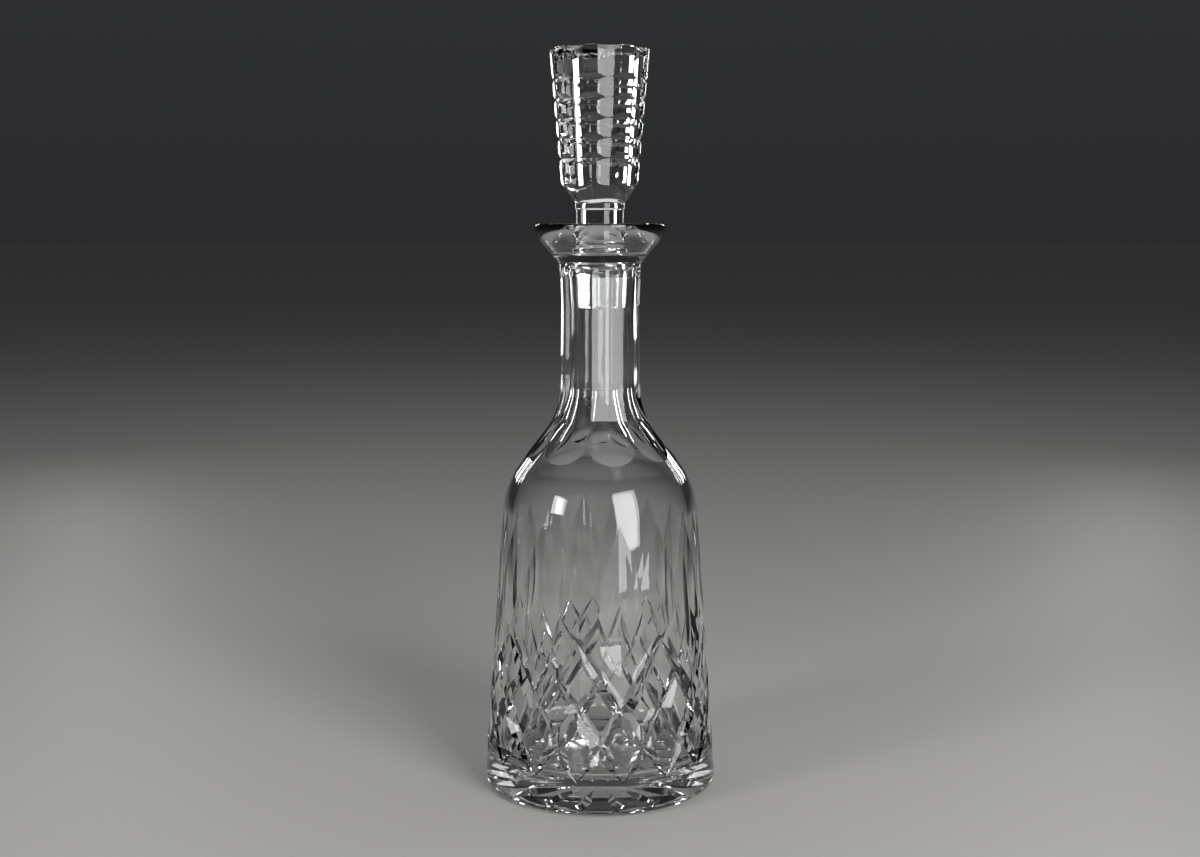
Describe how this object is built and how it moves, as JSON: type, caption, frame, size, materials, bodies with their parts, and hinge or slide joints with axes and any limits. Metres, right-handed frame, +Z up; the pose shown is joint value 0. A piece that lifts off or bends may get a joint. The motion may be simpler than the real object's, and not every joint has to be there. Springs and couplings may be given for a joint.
{
  "type": "wine decanter",
  "caption": "Cut crystal wine decanter: tapered body with a diamond and wedge cut band, neck cut in eight flat panels, flared pouring lip and a faceted ground stopper that lifts out.",
  "frame": {"origin": "middle of the standing ring under the foot", "axes": "+Z up along the axis of the bottle, -Y through the point of one large diamond"},
  "size_m": [0.103, 0.103, 0.3225],
  "materials": {
    "cut_crystal": "polished clear cut crystal",
    "stopper_crystal": "polished clear cut crystal with a finely ground peg"
  },
  "bodies": {
    "bottle": {"bottle": "cut_crystal"},
    "stopper": {"stopper": "stopper_crystal"}
  },
  "joints": [
    {"name": "stopper_lift", "type": "slide", "parent": "bottle", "child": "stopper", "axis": [0, 0, 1], "range_m": [0, 0.05]}
  ]
}
